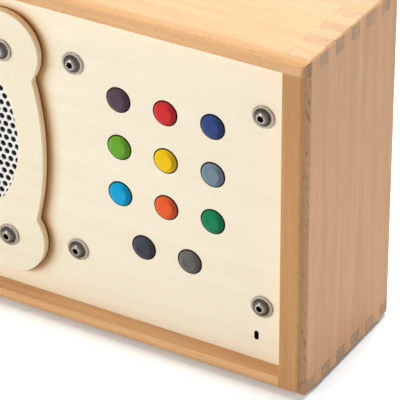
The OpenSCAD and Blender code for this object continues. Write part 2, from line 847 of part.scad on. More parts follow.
case_top();
case_bottom();
case_left();
case_right();
front_plate();
rear_plate();
rear_battens();
speaker_cover();
speaker_grille();
grille_cloth();
cover_screws();
cover_washers();
cover_nuts();
plate_screws();
plate_washers();
board_spacers();
board_nuts();
rear_screws();
feet();
speaker_gasket();
speaker_basket();
speaker_surround();
speaker_spider();
speaker_cone();
dust_cap();
voice_coil();
speaker_top_plate();
speaker_magnet();
speaker_yoke();
speaker_terminals();
main_board();
switch_housings();
processor_chip();
amplifier_chip();
capacitors();
lead_sockets();
card_socket();
memory_card();
status_light();
battery_holder();
battery_cells();
battery_contacts();
volume_knob();
volume_shaft();
volume_control();
volume_washer();
volume_nut();
for (b = button_table()) button_cap(b);
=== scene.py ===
import math

import bmesh
import bpy
from mathutils import Euler, Matrix, Vector


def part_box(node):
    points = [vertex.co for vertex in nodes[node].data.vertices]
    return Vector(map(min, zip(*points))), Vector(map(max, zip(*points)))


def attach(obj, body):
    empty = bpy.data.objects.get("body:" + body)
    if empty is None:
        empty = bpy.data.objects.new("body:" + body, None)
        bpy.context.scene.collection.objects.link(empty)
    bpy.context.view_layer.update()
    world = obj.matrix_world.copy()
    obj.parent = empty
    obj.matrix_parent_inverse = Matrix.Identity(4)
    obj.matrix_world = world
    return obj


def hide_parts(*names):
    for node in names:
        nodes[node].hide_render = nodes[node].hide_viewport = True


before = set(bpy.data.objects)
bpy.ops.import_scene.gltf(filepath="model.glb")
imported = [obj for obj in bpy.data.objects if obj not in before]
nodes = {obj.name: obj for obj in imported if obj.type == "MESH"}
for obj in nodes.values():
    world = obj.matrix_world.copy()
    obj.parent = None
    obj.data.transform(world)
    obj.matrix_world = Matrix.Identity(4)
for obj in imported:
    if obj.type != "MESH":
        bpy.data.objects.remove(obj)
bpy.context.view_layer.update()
mm = 0.001


def tone(red, green, blue):
    # a colour as it is seen on a screen, 0 to 255, made linear for the shaders
    def linear(value):
        value = value / 255
        return value / 12.92 if value <= 0.04045 else ((value + 0.055) / 1.055) ** 2.4
    return (linear(red), linear(green), linear(blue), 1)


def startMaterial(name, **sockets):
    material = bpy.data.materials.new(name)
    material.use_nodes = True
    tree = material.node_tree
    tree.nodes.clear()
    output = tree.nodes.new("ShaderNodeOutputMaterial")
    shader = tree.nodes.new("ShaderNodeBsdfPrincipled")
    tree.links.new(shader.outputs["BSDF"], output.inputs["Surface"])
    for label, value in sockets.items():
        shader.inputs[label.replace("_", " ")].default_value = value
    return material, tree, shader


def addNode(tree, kind, inputs=None, **settings):
    node = tree.nodes.new(kind)
    for label, value in settings.items():
        setattr(node, label, value)
    for label, value in (inputs or {}).items():
        if isinstance(value, bpy.types.NodeSocket):
            tree.links.new(value, node.inputs[label])
        else:
            node.inputs[label].default_value = value
    return node


def objectPoint(tree):
    return addNode(tree, "ShaderNodeTexCoord").outputs["Object"]


def mapped(tree, point, cell, turn=(0, 0, 0), shift=(0, 0, 0)):
    # cell is the size of one pattern cell in mm, along x, y and z
    scale = [1 / (side * mm) for side in cell]
    inputs = {"Vector": point, "Scale": scale, "Rotation": turn, "Location": shift}
    return addNode(tree, "ShaderNodeMapping", inputs).outputs["Vector"]


def alongGrain(grain, length, width):
    cell = [width, width, width]
    cell[grain] = length
    return cell


def noise(tree, point, detail=2, roughness=0.5, distortion=0):
    inputs = {"Vector": point, "Scale": 1, "Detail": detail, "Roughness": roughness,
              "Distortion": distortion}
    return addNode(tree, "ShaderNodeTexNoise", inputs).outputs[0]


def cells(tree, point, feature="F1", output=0):
    node = addNode(tree, "ShaderNodeTexVoronoi", {"Vector": point, "Scale": 1}, feature=feature)
    return node.outputs[output]


def spread(tree, value, low, high, toLow=0, toHigh=1):
    inputs = {"Value": value, "From Min": low, "From Max": high, "To Min": toLow, "To Max": toHigh}
    return addNode(tree, "ShaderNodeMapRange", inputs).outputs[0]


def math2(tree, operation, first, second=0.0):
    return addNode(tree, "ShaderNodeMath", {0: first, 1: second}, operation=operation).outputs[0]


def ramp(tree, value, stops):
    node = addNode(tree, "ShaderNodeValToRGB", {"Fac": value})
    marks = node.color_ramp.elements
    while len(marks) < len(stops):
        marks.new(0.5)
    for mark, (place, colour) in zip(marks, stops):
        mark.position = place
        mark.color = colour
    return node.outputs["Color"]


def blendColour(tree, share, first, second, kind="MIX"):
    node = addNode(tree, "ShaderNodeMix", {0: share, 6: first, 7: second}, data_type="RGBA",
                   blend_type=kind)
    return node.outputs[2]


def shade(tree, colour, value):
    # colour times a grey value
    grey = addNode(tree, "ShaderNodeCombineColor", {0: value, 1: value, 2: value}).outputs[0]
    return blendColour(tree, 1, colour, grey, "MULTIPLY")


def axesOf(tree, vector):
    return addNode(tree, "ShaderNodeSeparateXYZ", {0: vector}).outputs


def surfaceNormal(tree):
    return axesOf(tree, addNode(tree, "ShaderNodeTexCoord").outputs["Normal"])


def facing(tree, axis, low, high):
    # 1 where the surface looks along that axis of the piece
    return spread(tree, math2(tree, "ABSOLUTE", surfaceNormal(tree)[axis]), low, high)


def relief(tree, shader, height, depth, strength=1):
    bump = addNode(tree, "ShaderNodeBump", {"Height": height, "Distance": depth * mm, "Strength": strength})
    tree.links.new(bump.outputs[0], shader.inputs["Normal"])


def wire(tree, shader, **sockets):
    for label, value in sockets.items():
        tree.links.new(value, shader.inputs[label.replace("_", " ")])


beechLook = {
    "pale": (232, 182, 130),
    "deep": (222, 170, 118),
    "fleck": (150, 98, 58),
    "endPale": (214, 172, 137),
    "endDeep": (200, 160, 127),
    "streak": (150, 9.0),     # length and width of a slow colour streak, mm
    "band": (70, 1.7),        # growth rings cut along
    "bandDepth": 0.045,
    "fibre": (26, 0.45),
    "fibreDepth": 0.05,
    "ray": (2.6, 0.3),        # short dark rays of beech
    "rayRange": (0.64, 0.74),
    "rayShare": 0.4,
    "edgeTone": (1, 1, 1),    # front and rear edges against the broad faces
    "roundShade": 0.94,        # rounded edges, darkened a little as painted shade
    "roundSpot": (4.2, 1.5),
    "roundFleck": 0.2,
    "endRing": (9, 9, 1.6),   # rings and pores of the end grain
    "endPore": (0.6, 0.6, 0.6),
    "poreTone": (0.86, 1.03),
    "fingerTone": (0.92, 1.06),
    "cornerShade": 0.7,        # painted shade on the upright edge where front and side meet
    "roughness": 0.5,
    "shift": (0, 0, 0),
}

beechSideLook = dict(
    beechLook,
    pale=(234, 183, 138),
    deep=(224, 174, 128),
    fleck=(158, 105, 70),
    endPale=(226, 180, 134),
    endDeep=(210, 164, 120),
    edgeTone=(0.715, 0.645, 0.475),
    roundShade=0.78,
    roundFleck=0.75,
    cornerShade=1,
    shift=(3, 7, 2),
)

knobLook = dict(beechLook, streak=(60, 4.0), roundShade=1, roundFleck=0, cornerShade=1, shift=(9, 1, 5))


def woodFinish(name, grain, look, fingers=0):
    # grain: the axis it runs along; fingers: width of the end-grain fingers, each a little unlike the next
    material, tree, shader = startMaterial(name, Specular_IOR_Level=0.3)
    point = objectPoint(tree)
    normal = surfaceNormal(tree)

    def layer(size, detail, distortion=0):
        cell = alongGrain(grain, *look[size])
        return noise(tree, mapped(tree, point, cell, shift=look["shift"]), detail, 0.55, distortion)

    fibres = layer("fibre", 3)
    colour = ramp(tree, layer("streak", 2, 0.5), [(0.35, tone(*look["deep"])), (0.65, tone(*look["pale"]))])
    for value, depth in ((layer("band", 2, 0.3), look["bandDepth"]), (fibres, look["fibreDepth"])):
        colour = shade(tree, colour, spread(tree, value, 0.3, 0.7, 1 - depth, 1 + depth))
    rayMask = spread(tree, layer("ray", 1), *look["rayRange"], 0, look["rayShare"])
    colour = blendColour(tree, rayMask, colour, tone(*look["fleck"]))

    # edge grain, and the rounding between two faces with its larger flecks and its painted shade
    across = math2(tree, "ABSOLUTE", normal[1])
    edgeColour = blendColour(tree, 1, colour, (*look["edgeTone"], 1), "MULTIPLY")
    colour = blendColour(tree, spread(tree, across, 0.6, 0.95), colour, edgeColour)
    slant = math2(tree, "MULTIPLY", across, math2(tree, "ABSOLUTE", normal[0 if grain == 2 else 2]))
    rounding = spread(tree, slant, 0.04, 0.32)
    spots = noise(tree, mapped(tree, point, alongGrain(grain, *look["roundSpot"]), shift=look["shift"]), 1)
    spotted = math2(tree, "MULTIPLY", rounding, spread(tree, spots, 0.6, 0.72, 0, look["roundFleck"]))
    colour = shade(tree, colour, spread(tree, rounding, 0, 1, 1, look["roundShade"]))
    colour = blendColour(tree, spotted, colour, tone(*look["fleck"]))

    # end grain: closer, greyer, with pores in place of rays
    rings = noise(tree, mapped(tree, point, look["endRing"], shift=look["shift"]), 2, 0.5, 1.2)
    pores = noise(tree, mapped(tree, point, look["endPore"]), 1)
    endColour = ramp(tree, rings, [(0.32, tone(*look["endDeep"])), (0.66, tone(*look["endPale"]))])
    endColour = shade(tree, endColour, spread(tree, pores, 0.35, 0.6, *look["poreTone"]))
    if fingers:
        finger = math2(tree, "FLOOR", math2(tree, "DIVIDE", axesOf(tree, point)[1], fingers * mm))
        chance = addNode(tree, "ShaderNodeTexWhiteNoise", {"W": finger}, noise_dimensions="1D").outputs[0]
        endColour = shade(tree, endColour, spread(tree, chance, 0, 1, *look["fingerTone"]))
    colour = blendColour(tree, facing(tree, grain, 0.55, 0.9), colour, endColour)
    # painted shade on the upright rounding between front and side
    cornerShadeMask = math2(tree, "MULTIPLY", across, math2(tree, "ABSOLUTE", normal[0]))
    colour = shade(tree, colour, spread(tree, cornerShadeMask, 0.08, 0.4, 1, look["cornerShade"]))
    wire(tree, shader, Base_Color=colour,
         Roughness=spread(tree, fibres, 0.3, 0.7, look["roughness"] + 0.08, look["roughness"] - 0.06))
    grooves = math2(tree, "SUBTRACT", fibres, math2(tree, "MULTIPLY", rayMask, 0.8))
    relief(tree, shader, grooves, 0.04, 0.4)
    return material


plyLook = {
    "pale": (250, 239, 214),
    "deep": (248, 235, 208),
    "fleck": (216, 188, 146),
    "cutFront": (255, 238, 204),
    "cutBack": (248, 218, 174),
    "foot": (140, 84, 40),        # browned line where the cut ends at the back: laser burn, and painted shade where the edge meets the plate
    "cut": (-42.5, -37.5),        # front and back of the cut edge, mm
    "streak": (160, 8.0),
    "fibre": (30, 0.6),
    "ray": (3.4, 0.3),
    "rayRange": (0.7, 0.8),
    "rayShare": 0.22,
    "roughness": 0.5,
    "veneer": 1.25,               # thickness of a layer of the cut edge, mm
    "shadowReach": 9,             # how far from a step the painted shadow reaches, mm; 0 for none at all
    "shadowRays": 8,
    "shadowEnd": (18, 21),        # it fades out to the right of the speaker cover
    "shadowFoot": (17, 21),       # and under it
    "shadowHead": (169, 173),     # and over it
    "shadowDepth": (-20, 0),      # and towards the rear plate
    # colours of the painted shadow, darkest close against the step
    "shadowStops": [(0.52, (0.6, 0.36, 0.17)), (0.68, (0.76, 0.5, 0.3)), (0.8, (0.88, 0.72, 0.54)),
               (0.92, (1, 1, 1))],
    "shift": (1, 2, 3),
}

# cut edges of the plates near black: laser burn, deepened as painted shade in the gaps round the button
# caps
burntShadedCutLook = dict(plyLook, cutFront=(52, 34, 20), cutBack=(40, 26, 15), foot=(40, 26, 15))
coverLook = dict(plyLook, pale=(247, 234, 207), deep=(245, 230, 201), shadowReach=0, shift=(4, 9, 6))


def plyFinish(name, look):
    material, tree, shader = startMaterial(name, Specular_IOR_Level=0.25)
    point = objectPoint(tree)
    parts = axesOf(tree, point)

    def layer(size, detail, distortion=0):
        cell = alongGrain(0, *look[size])
        return noise(tree, mapped(tree, point, cell, shift=look["shift"]), detail, 0.55, distortion)

    def fade(axis, limits, toLow=0, toHigh=1):
        # limits: two places on that axis, mm
        return spread(tree, parts[axis], limits[0] * mm, limits[1] * mm, toLow, toHigh)

    fibres = layer("fibre", 2)
    face = ramp(tree, layer("streak", 3, 0.5), [(0.34, tone(*look["deep"])), (0.62, tone(*look["pale"]))])
    face = shade(tree, face, spread(tree, fibres, 0.3, 0.7, 0.982, 1.012))
    rayMask = spread(tree, layer("ray", 1), *look["rayRange"], 0, look["rayShare"])
    face = blendColour(tree, rayMask, face, tone(*look["fleck"]))

    # the cut edge: soft layers of veneer, darker towards the back and browned at its foot, partly laser
    # burn and partly painted shade
    edge = ramp(tree, fade(1, look["cut"]), [(0.0, tone(*look["cutFront"])), (0.68, tone(*look["cutBack"])),
                                             (0.84, tone(*look["foot"]))])
    turns = math2(tree, "MULTIPLY", parts[1], math.pi / (look["veneer"] * mm))
    plies = spread(tree, math2(tree, "SINE", turns), -0.5, 0.5, 0.95, 1.03)
    grit = noise(tree, mapped(tree, point, (1.1, 0.5, 1.1)), 2)
    edge = shade(tree, edge, math2(tree, "MULTIPLY", plies, spread(tree, grit, 0.3, 0.7, 0.95, 1.04)))
    flat = facing(tree, 1, 0.75, 0.95)

    # painted shadow: a brown ambient-occlusion tint at the foot of the speaker cover, on the front plate
    # alone
    if look["shadowReach"]:
        openness = addNode(tree, "ShaderNodeAmbientOcclusion", {"Distance": look["shadowReach"] * mm},
                           samples=look["shadowRays"])
        stops = [(share, (*colour, 1)) for share, colour in look["shadowStops"]]
        shadowTint = ramp(tree, openness.outputs["AO"], stops)
        near = fade(0, look["shadowEnd"], 1, 0)
        for other in (fade(2, look["shadowFoot"]), fade(2, look["shadowHead"], 1, 0),
                      fade(1, look["shadowDepth"], 1, 0)):
            near = math2(tree, "MULTIPLY", near, other)
        face = blendColour(tree, near, face, blendColour(tree, 1, face, shadowTint, "MULTIPLY"))
    wire(tree, shader, Base_Color=blendColour(tree, flat, edge, face),
         Roughness=spread(tree, fibres, 0.3, 0.7, look["roughness"] + 0.06, look["roughness"] - 0.05))
    relief(tree, shader, fibres, 0.02, 0.3)
    return material


def metalFinish(name, colour, roughness, brushed=(0.4, 0.4, 0.4), depth=0.006):
    material, tree, shader = startMaterial(name, Metallic=1.0)
    point = objectPoint(tree)
    scratches = noise(tree, mapped(tree, point, brushed), 2)
    clouds = noise(tree, mapped(tree, point, (9, 9, 9)), 2)
    wire(tree, shader,
         Base_Color=ramp(tree, clouds, [(0.3, tone(*[c * 0.93 for c in colour])), (0.7, tone(*colour))]),
         Roughness=spread(tree, scratches, 0.3, 0.7, roughness - 0.05, roughness + 0.07))
    relief(tree, shader, scratches, depth, 0.5)
    return material


def screwFinish(name, stops, roughness):
    # the painted-light attribute runs from the socket painted dark as shade, over the flank darkened as a
    # painted reflection, to the land round it painted bright as a highlight
    material, tree, shader = startMaterial(name, Metallic=1.0)
    paintedLight = addNode(tree, "ShaderNodeAttribute", attribute_name="paintedLight").outputs["Fac"]
    scratches = noise(tree, mapped(tree, objectPoint(tree), (0.35, 0.35, 0.35)), 2)
    base = ramp(tree, paintedLight, [(place, tone(*colour)) for place, colour in stops])
    wire(tree, shader, Base_Color=shade(tree, base, spread(tree, scratches, 0.3, 0.7, 0.94, 1.04)),
         Roughness=spread(tree, scratches, 0.3, 0.7, roughness - 0.04, roughness + 0.06))
    relief(tree, shader, scratches, 0.005, 0.4)
    return material


def paintFinish(name, colour, roughness, grain=0.5, depth=0.012, contrast=0.05, specular=0.5, coat=0.0):
    # painted, moulded or dyed: one colour with a slow drift, fine grain and a matching sheen
    material, tree, shader = startMaterial(name, Specular_IOR_Level=specular, Coat_Weight=coat,
                                           Coat_Roughness=0.2)
    point = objectPoint(tree)
    drift = noise(tree, mapped(tree, point, (14, 14, 14)), 2)
    skin = noise(tree, mapped(tree, point, (grain, grain, grain)), 2)
    darker = [c * (1 - contrast) for c in colour]
    base = ramp(tree, drift, [(0.3, tone(*darker)), (0.7, tone(*colour))])
    base = shade(tree, base, spread(tree, skin, 0.3, 0.7, 0.97, 1.02))
    wire(tree, shader, Base_Color=base,
         Roughness=spread(tree, skin, 0.3, 0.7, roughness + 0.05, roughness - 0.05))
    relief(tree, shader, skin, depth, 0.5)
    return material


def clothFinish(name, colour, pitch):
    material, tree, shader = startMaterial(name, Roughness=0.92, Specular_IOR_Level=0.15, Sheen_Weight=0.2)
    point = objectPoint(tree)
    parts = axesOf(tree, point)
    across, upward = [math2(tree, "SINE", math2(tree, "MULTIPLY", parts[axis], math.tau / (pitch * mm)))
                      for axis in (0, 2)]
    weave = math2(tree, "MULTIPLY", across, upward)
    fuzz = noise(tree, mapped(tree, point, (0.25, 0.25, 0.25)), 2)
    thread = math2(tree, "ADD", weave, fuzz)
    base = ramp(tree, spread(tree, thread, -0.6, 1.6),
                [(0.0, tone(*[c * 0.55 for c in colour])), (1.0, tone(*colour))])
    wire(tree, shader, Base_Color=base)
    relief(tree, shader, thread, 0.06, 0.7)
    return material


def laminateFinish(name, colour, trace, pad):
    # solder mask with tracks a shade lighter and small plated holes
    material, tree, shader = startMaterial(name, Roughness=0.35, Coat_Weight=0.3)
    point = objectPoint(tree)
    lanes = cells(tree, mapped(tree, point, (7, 60, 1.8)), "F1", 1)
    lane = addNode(tree, "ShaderNodeSeparateColor", {0: lanes}).outputs[0]
    tracks = spread(tree, lane, 0.55, 0.6)
    holes = spread(tree, cells(tree, mapped(tree, point, (6, 60, 6))), 0.12, 0.1)
    cloud = noise(tree, mapped(tree, point, (20, 20, 20)), 2)
    base = blendColour(tree, tracks, tone(*colour), tone(*trace))
    base = shade(tree, base, spread(tree, cloud, 0.3, 0.7, 0.92, 1.05))
    base = blendColour(tree, holes, base, tone(*pad))
    wire(tree, shader, Base_Color=base)
    relief(tree, shader, tracks, 0.035, 0.6)
    return material


def foamFinish(name, colour):
    material, tree, shader = startMaterial(name, Roughness=0.95, Specular_IOR_Level=0.1)
    point = objectPoint(tree)
    bubbles = cells(tree, mapped(tree, point, (0.9, 0.9, 0.9)))
    base = ramp(tree, bubbles, [(0.1, tone(*[c * 0.5 for c in colour])), (0.6, tone(*colour))])
    wire(tree, shader, Base_Color=base)
    relief(tree, shader, bubbles, 0.3, 0.6)
    return material


finish = {
    "case_board_long": woodFinish("oiledBeechAlong", 0, beechLook, fingers=7.83),
    "case_board_side": woodFinish("oiledBeechUpright", 2, beechSideLook, fingers=7.83),
    "birch_plate": plyFinish("birchPlate", burntShadedCutLook),
    "birch_cover": plyFinish("birchCover", coverLook),
    "batten_wood": woodFinish("plainBatten", 2, dict(beechLook, shift=(5, 5, 8))),
    "knob_wood": woodFinish("turnedBeech", 0, knobLook),
    "grille_metal": paintFinish("grillePaint", (240, 240, 236), 0.4, 0.3, 0.01, 0.03),
    "grille_cloth": clothFinish("speakerCloth", (13, 12, 12), 0.8),
    "stainless": metalFinish("satinStainless", (186, 179, 168), 0.26),
    "foot_rubber": paintFinish("footRubber", (52, 51, 50), 0.75, 0.4, 0.03, 0.1, 0.3),
    "gasket_foam": foamFinish("gasketFoam", (46, 46, 48)),
    "basket_sheet": metalFinish("basketSheet", (92, 92, 96), 0.42, (0.8, 0.8, 0.8), 0.01),
    "surround_rubber": paintFinish("surroundRubber", (38, 38, 39), 0.6, 0.6, 0.02, 0.1, 0.3),
    "spider_cloth": clothFinish("spiderCloth", (196, 156, 84), 0.9),
    "cone_paper": foamFinish("conePaper", (54, 52, 52)),
    "coil_copper": metalFinish("coilCopper", (204, 128, 82), 0.3, (6, 0.28, 6), 0.03),
    "pole_steel": metalFinish("zincSteel", (188, 190, 194), 0.34, (1.2, 1.2, 1.2), 0.008),
    "ferrite": paintFinish("ferrite", (60, 60, 64), 0.7, 0.5, 0.03, 0.15, 0.35),
    "contact_metal": metalFinish("nickelContact", (214, 206, 184), 0.26),
    "board_laminate": laminateFinish("greenLaminate", (22, 88, 52), (36, 112, 66), (205, 190, 130)),
    "switch_plastic": paintFinish("switchPlastic", (44, 44, 46), 0.5, 0.35, 0.012),
    "chip_plastic": paintFinish("chipPlastic", (32, 33, 36), 0.55, 0.25, 0.012),
    "capacitor_can": metalFinish("capacitorCan", (120, 128, 168), 0.38),
    "socket_plastic": paintFinish("socketPlastic", (232, 228, 212), 0.5, 0.4, 0.01),
    "socket_sheet": metalFinish("socketSheet", (198, 198, 200), 0.28),
    "card_plastic": paintFinish("cardPlastic", (40, 62, 120), 0.45, 0.3, 0.01),
    "light_lens": paintFinish("lightLens", (226, 232, 226), 0.25, 0.6, 0.004, 0.02, 0.5, 0.4),
    "holder_plastic": paintFinish("holderPlastic", (38, 38, 40), 0.5, 0.5, 0.015),
    "cell_jacket": paintFinish("cellJacket", (66, 72, 80), 0.32, 0.8, 0.006, 0.06, 0.5, 0.4),
    "control_metal": metalFinish("controlCase", (150, 150, 154), 0.36, (0.9, 0.9, 0.9), 0.01),
}
# painted shade in the socket, painted reflection on the flank, painted highlight on the land
screwSteel = screwFinish("screwSteel", [(0.0, (14, 13, 12)), (0.25, (84, 79, 73)), (0.5, (140, 134, 125)),
                                        (0.75, (196, 191, 182)), (1.0, (242, 240, 235))], 0.27)
print("finishes made:", len(finish) + 1)


for name, node in nodes.items():
    for row in node.material_slots:
        label = row.material.name.split(".")[0] if row.material else ""
        if label in finish:
            row.material = finish[label]


def placePiece(name, mesh, body, material, replaced):
    piece = bpy.data.objects.new(name, mesh)
    bpy.context.scene.collection.objects.link(piece)
    mesh.materials.clear()
    mesh.materials.append(material)
    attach(piece, body)
    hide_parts(*replaced)
    return piece


def bakedMesh(piece):
    # the piece with its modifiers worked in, as a plain mesh; the piece itself goes
    bpy.context.view_layer.update()
    depsgraph = bpy.context.evaluated_depsgraph_get()
    mesh = bpy.data.meshes.new_from_object(piece.evaluated_get(depsgraph), preserve_all_data_layers=True,
                                           depsgraph=depsgraph)
    bpy.data.objects.remove(piece)
    return mesh


softening = {
    "weld": 0.002,      # corners nearer than this are one, mm
    "flat": 0.6,        # faces that differ by less are one again, degrees
    "sharp": 38,        # edges that turn by more are rounded, degrees
    "segments": 2,
}


def softened(nodeName, radius):
    # a merged copy of a node's mesh, its flat faces whole again and its sharp edges rounded over
    work = bmesh.new()
    work.from_mesh(nodes[nodeName].data)
    bmesh.ops.remove_doubles(work, verts=work.verts, dist=softening["weld"] * mm)
    bmesh.ops.dissolve_limit(work, angle_limit=math.radians(softening["flat"]), verts=work.verts,
                             edges=work.edges)
    for face in work.faces:
        face.smooth = True
    mesh = bpy.data.meshes.new(nodeName + "Softened")
    work.to_mesh(mesh)
    work.free()
    for label in ("custom_normal", "sharp_face", "sharp_edge"):
        if label in mesh.attributes:
            mesh.attributes.remove(mesh.attributes[label])
    piece = bpy.data.objects.new(nodeName + "Work", mesh)
    bpy.context.scene.collection.objects.link(piece)
    bevel = piece.modifiers.new("roundedEdges", "BEVEL")
    bevel.width = radius * mm
    bevel.segments = softening["segments"]
    bevel.limit_method = "ANGLE"
    bevel.angle_limit = math.radians(softening["sharp"])
    bevel.harden_normals = True
    bevel.use_clamp_overlap = True
    return bakedMesh(piece)


# node, radius of the softened edges in mm, slot
boards = {
    "caseTop": ("case_top", 0.35, "case_board_long"),
    "caseBottom": ("case_bottom", 0.35, "case_board_long"),
    "caseLeft": ("case_left", 0.35, "case_board_side"),
    "caseRight": ("case_right", 0.35, "case_board_side"),
    "frontPlate": ("front_plate", 0.22, "birch_plate"),
    "rearPlate": ("rear_plate", 0.4, "birch_plate"),
    "speakerCover": ("speaker_cover", 0.35, "birch_cover"),
}
for name, (nodeName, radius, slot) in boards.items():
    placePiece(name, softened(nodeName, radius), "case", finish[slot], [nodeName])
placePiece("volumeKnob", softened("volume_knob", 0.3), "volume", finish["knob_wood"],
           ["volume_knob"])
print("boards and knob softened")


creaseAngle = math.radians(34)


def turned(name, rings, segments=48, upright=False, place=(0, 0, 0)):
    # rings: (radius or a rule that gives it from the angle, height), closed by a pole at each end;
    # a third figure is the painted shade and reflection there
    work = bmesh.new()
    paintedLight = work.verts.layers.float.new("paintedLight") if len(rings[0]) > 2 else None
    rows = []
    for radius, height, *lightLevel in rings:
        row = []
        for step in range(1 if radius == 0 else segments):
            angle = math.tau * step / segments
            reach = radius(angle) if callable(radius) else radius
            across, along = reach * math.cos(angle), reach * math.sin(angle)
            point = (across, along, height) if upright else (across, height, along)
            vertex = work.verts.new((Vector(point) + Vector(place)) * mm)
            if paintedLight:
                vertex[paintedLight] = lightLevel[0]
            row.append(vertex)
        rows.append(row)
    for first, second in zip(rows, rows[1:]):
        for step in range(segments):
            after = (step + 1) % segments
            if len(first) == 1:
                work.faces.new((first[0], second[step], second[after]))
            elif len(second) == 1:
                work.faces.new((first[step], second[0], first[after]))
            else:
                work.faces.new((first[step], second[step], second[after], first[after]))
    bmesh.ops.recalc_face_normals(work, faces=work.faces)
    for face in work.faces:
        face.smooth = True
    mesh = bpy.data.meshes.new(name)
    work.to_mesh(mesh)
    work.free()
    mesh.set_sharp_from_angle(angle=creaseAngle)
    return mesh


def hexagon(width, grow=0.0):
    def reach(angle):
        return (width / 2 + grow) / math.cos((angle + math.pi / 6) % (math.pi / 3) - math.pi / 6)
    return reach


def headRings(shape):
    # a button head whose underside is at 0 and whose top looks to the front, with a hex socket
    radius, height, socket = shape["head"] / 2, shape["headHeight"], shape["socket"]
    rim = 0.12 * height
    dome = height - rim
    ball = (radius ** 2 + dome ** 2) / (2 * dome)

    def domeHeight(reach):
        return height - ball + math.sqrt(ball ** 2 - reach ** 2)

    shank, tip = shape["shank"] / 2, shape["length"]
    rings = [(0, tip, 0.5), (shank * shape["point"], tip, 0.5), (shank, tip - shape["taper"], 0.5),
             (shank, 0, 0.4), (radius - 0.12, 0, 0.2), (radius, -0.12, 0.45), (radius - 0.02, -rim, 0.35)]
    steps = 10
    edge = socket * 0.66
    for step in range(1, steps + 1):
        reach = radius - (radius - edge) * step / steps
        # painted reflection: the dome darker at its foot, lighter towards the socket
        lightLevel = 0.22 + 0.5 * (step / steps) ** 2.2
        rings.append((reach, -domeHeight(reach), lightLevel))
    top = -domeHeight(edge)
    # painted highlight on the socket's rim, painted shade down in the socket
    rings += [(hexagon(socket, 0.26), top - 0.02, 0.95), (hexagon(socket, 0.16), top + 0.06, 0.6),
              (hexagon(socket), top + 0.24, 0.22), (hexagon(socket), -shape["floor"], 0.12),
              (hexagon(socket * 0.9), -shape["floor"] + 0.02, 0.02), (0, -shape["floor"] + 0.35, 0.02)]
    return rings


def startTree(name, sockets):
    # a tree that takes a shape and the named values
    tree = bpy.data.node_groups.new(name, "GeometryNodeTree")
    tree.interface.new_socket(name="Geometry", in_out="INPUT", socket_type="NodeSocketGeometry")
    for label, kind in sockets.items():
        tree.interface.new_socket(name=label, in_out="INPUT", socket_type="NodeSocket" + kind)
    tree.interface.new_socket(name="Geometry", in_out="OUTPUT", socket_type="NodeSocketGeometry")
    return tree, tree.nodes.new("NodeGroupInput").outputs


def endTree(tree, shape, coating):
    solid = addNode(tree, "GeometryNodeRealizeInstances", {0: shape})
    coated = addNode(tree, "GeometryNodeSetMaterial", {"Geometry": solid.outputs[0], "Material": coating})
    addNode(tree, "NodeGroupOutput", {0: coated.outputs[0]})


def fastenerTree():
    # sets the incoming shape on a grid of places, each turned by chance about its own axis
    tree, given = startTree("fastenersOnGrid", {
        "Columns": "Int", "Rows": "Int", "Width": "Float", "Height": "Float", "Centre": "Vector",
        "Tilt": "Vector", "Turn range": "Float", "Seed": "Int", "Finish": "Material"})
    grid = addNode(tree, "GeometryNodeMeshGrid", {"Size X": given["Width"], "Size Y": given["Height"],
                                                  "Vertices X": given["Columns"],
                                                  "Vertices Y": given["Rows"]})
    tilt = addNode(tree, "FunctionNodeEulerToRotation", {0: given["Tilt"]})
    stood = addNode(tree, "GeometryNodeTransform", {"Geometry": grid.outputs["Mesh"],
                                                    "Translation": given["Centre"],
                                                    "Rotation": tilt.outputs[0]})
    chance = addNode(tree, "FunctionNodeRandomValue", {3: given["Turn range"], "Seed": given["Seed"]},
                     data_type="FLOAT")
    spin = addNode(tree, "ShaderNodeCombineXYZ", {"Y": chance.outputs[1]})
    turn = addNode(tree, "FunctionNodeEulerToRotation", {0: spin.outputs[0]})
    setOut = addNode(tree, "GeometryNodeInstanceOnPoints", {"Points": stood.outputs[0],
                                                            "Instance": given["Geometry"],
                                                            "Rotation": turn.outputs[0]})
    endTree(tree, setOut.outputs[0], given["Finish"])
    return tree


def runTree(tree, mesh, values):
    # one object through a node tree: its named inputs are set by identifier, then it is baked
    piece = bpy.data.objects.new(mesh.name + "Work", mesh)
    bpy.context.scene.collection.objects.link(piece)
    modifier = piece.modifiers.new("made", "NODES")
    modifier.node_group = tree
    identifiers = {item.name: item.identifier for item in tree.interface.items_tree
                   if item.item_type == "SOCKET" and item.in_out == "INPUT"}
    for label, value in values.items():
        modifier[identifiers[label]] = value
    return bakedMesh(piece)


fasteners = fastenerTree()
machineHead = {"head": 9.5, "headHeight": 2.75, "socket": 3.0, "shank": 4.96, "point": 0.76, "taper": 0.6,
               "floor": 1.0}
woodHead = {"head": 7.0, "headHeight": 2.4, "socket": 2.5, "shank": 3.5, "point": 0.17, "taper": 3.0,
            "floor": 1.0}
washer = {"across": 12, "thick": 1}
washerRings = [(2.8, -0.15), (2.8, -0.85), (2.95, -1.0), (5.75, -1.0), (5.92, -0.93), (6.0, -0.78),
               (6.0, -0.2), (5.9, -0.04), (5.75, 0), (2.95, 0), (2.8, -0.15)]


def closedRing(name, rings):
    # a ring with a hole: the last row is the first again
    mesh = turned(name, rings)
    work = bmesh.new()
    work.from_mesh(mesh)
    bmesh.ops.remove_doubles(work, verts=work.verts, dist=0.0005 * mm)
    bmesh.ops.recalc_face_normals(work, faces=work.faces)
    work.to_mesh(mesh)
    work.free()
    mesh.set_sharp_from_angle(angle=creaseAngle)
    return mesh


def fastenerSet(name, nodeName, mesh, columns, rows, across, seat, turnRange, seed, coating=screwSteel):
    # mesh: one fastener whose seat is at y = 0; across: its own width, taken off the node's box
    low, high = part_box(nodeName)
    middle, size = (low + high) / 2, high - low
    values = {"Columns": columns, "Rows": rows, "Width": size.x - across * mm,
              "Height": size.z - across * mm, "Centre": (middle.x, seat, middle.z),
              "Tilt": (math.pi / 2, 0, 0), "Turn range": turnRange, "Seed": seed, "Finish": coating}
    placePiece(name, runTree(fasteners, mesh, values), "case", coating, [nodeName])


